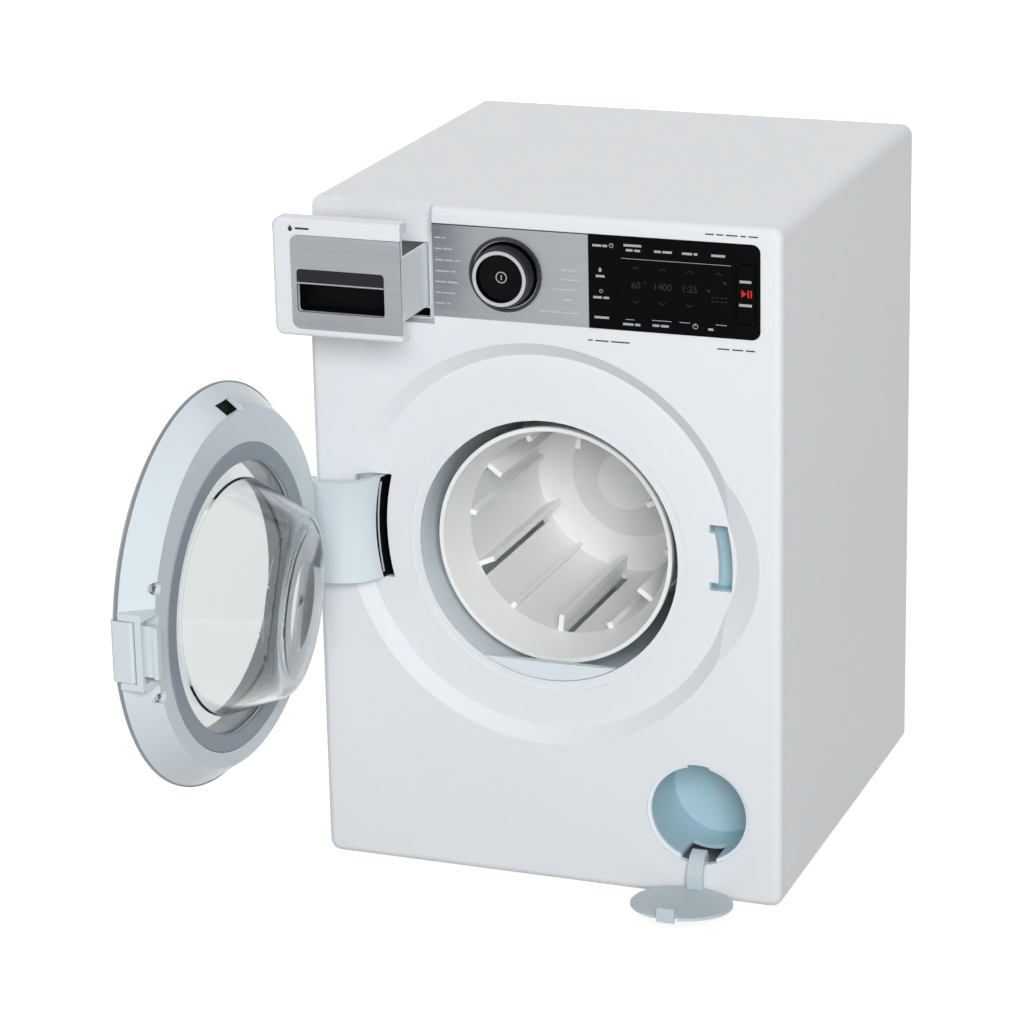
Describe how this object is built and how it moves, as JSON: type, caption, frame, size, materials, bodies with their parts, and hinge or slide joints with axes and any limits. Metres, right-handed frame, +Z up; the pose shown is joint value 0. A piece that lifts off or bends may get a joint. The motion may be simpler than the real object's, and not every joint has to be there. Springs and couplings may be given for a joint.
{
  "type": "toy washing machine",
  "caption": "Toy front-loading washing machine with an open round door, ribbed drum, pull-out drawer, knob, display panel and a drop-down service flap.",
  "frame": {"origin": "centre of the flat underside of the casing", "axes": "+Z up, -Y towards the user at the front, +X to the right as seen from the front"},
  "size_m": [0.2006, 0.3307, 0.263],
  "materials": {
    "shell_white": "smooth moulded white plastic, faint cool tint",
    "inner_white": "smooth moulded bluish-white plastic",
    "pale_blue": "smooth moulded pale blue plastic",
    "silver": "satin silver paint on plastic",
    "gloss_black": "high-gloss black plastic",
    "satin_black": "satin black plastic",
    "seal_grey": "smooth soft grey-blue plastic",
    "clear": "clear moulded plastic",
    "steel": "zinc-plated steel",
    "gear_plastic": "natural acetal",
    "bush_plastic": "dark acetal",
    "board_green": "solder-masked laminate",
    "cell_wrap": "plain wrapped dry cell",
    "speaker_black": "paper cone and pressed frame"
  },
  "bodies": {
    "casing": {"housing": "shell_white", "tub": "inner_white", "bush": "bush_plastic", "idler_axle": "steel", "gear_plate": "inner_white", "motor": "steel", "gear_plate_screws": "steel", "tub_screws": "steel", "hinge_pin": "steel", "catch_box": "pale_blue", "drawer_case": "inner_white", "fascia": "silver", "display": "gloss_black", "knob_bezel": "silver", "circuit_board": "board_green", "key_switch": "satin_black", "dial_switch": "satin_black", "board_screws": "steel", "service_cup": "pale_blue", "flap_pin": "steel", "rear_cover": "shell_white", "cover_screws": "steel", "battery_box": "satin_black", "batteries": "cell_wrap", "battery_contacts": "steel", "battery_door": "shell_white", "battery_door_screw": "steel", "speaker": "speaker_black"},
    "door": {"door_rim": "silver", "door_bezel": "shell_white", "door_seal": "seal_grey", "door_bowl": "clear", "hinge_arm": "shell_white", "arm_screws": "steel", "door_screws": "steel"},
    "door_handle": {"door_handle": "silver"},
    "drawer": {"drawer_front": "shell_white", "drawer_insert": "silver", "drawer_pocket": "satin_black", "drawer_bar": "silver", "drawer_tray": "shell_white"},
    "service_flap": {"service_flap": "shell_white"},
    "knob": {"knob": "satin_black", "knob_ring": "silver"},
    "knob_button": {"knob_button": "satin_black"},
    "start_key": {"start_key": "gloss_black"},
    "drum": {"drum": "shell_white", "drum_shaft": "steel", "drum_gear": "gear_plastic"},
    "idler": {"idler_gear": "gear_plastic"},
    "motor_shaft": {"motor_shaft": "steel", "pinion": "gear_plastic"}
  },
  "joints": [
    {"name": "door_hinge", "type": "hinge", "parent": "casing", "child": "door", "pos_m": [-0.0835, -0.0835, 0.1359], "axis": [0, 0, 1], "range_deg": [0, 92.1]},
    {"name": "handle_rock", "type": "hinge", "parent": "door", "child": "door_handle", "pos_m": [-0.09976, -0.2323, 0.1344], "axis": [0, 0, 1], "range_deg": [0, 4.5], "stiffness_Nm_per_rad": 0.05},
    {"name": "drawer_slide", "type": "slide", "parent": "casing", "child": "drawer", "axis": [0, 1, 0], "range_m": [-0.0145, 0.0305]},
    {"name": "flap_hinge", "type": "hinge", "parent": "casing", "child": "service_flap", "pos_m": [0.0598, -0.0855, 0.0091], "axis": [1, 0, 0], "range_deg": [-84.5, 0]},
    {"name": "knob_turn", "type": "hinge", "parent": "casing", "child": "knob", "pos_m": [-0.0128, -0.091, 0.2393], "axis": [0, 1, 0], "continuous": true},
    {"name": "knob_button_push", "type": "slide", "parent": "casing", "child": "knob_button", "axis": [0, 1, 0], "range_m": [0, 0.001], "stiffness_N_per_m": 400},
    {"name": "start_key_push", "type": "slide", "parent": "casing", "child": "start_key", "axis": [0, 1, 0], "range_m": [0, 0.0007], "stiffness_N_per_m": 500},
    {"name": "drum_spin", "type": "hinge", "parent": "casing", "child": "drum", "pos_m": [-0.0005, -0.03, 0.1312], "axis": [0, 1, 0], "continuous": true},
    {"name": "idler_spin", "type": "hinge", "parent": "casing", "child": "idler", "pos_m": [0.02727, 0.04, 0.09811], "axis": [0, 1, 0], "continuous": true},
    {"name": "motor_spin", "type": "hinge", "parent": "casing", "child": "motor_shaft", "pos_m": [0.05076, 0.042, 0.08956], "axis": [0, 1, 0], "continuous": true}
  ],
  "couplings": [
    {"joint": "idler_spin", "follows": "drum_spin", "ratio": -5},
    {"joint": "motor_spin", "follows": "drum_spin", "ratio": 20}
  ]
}
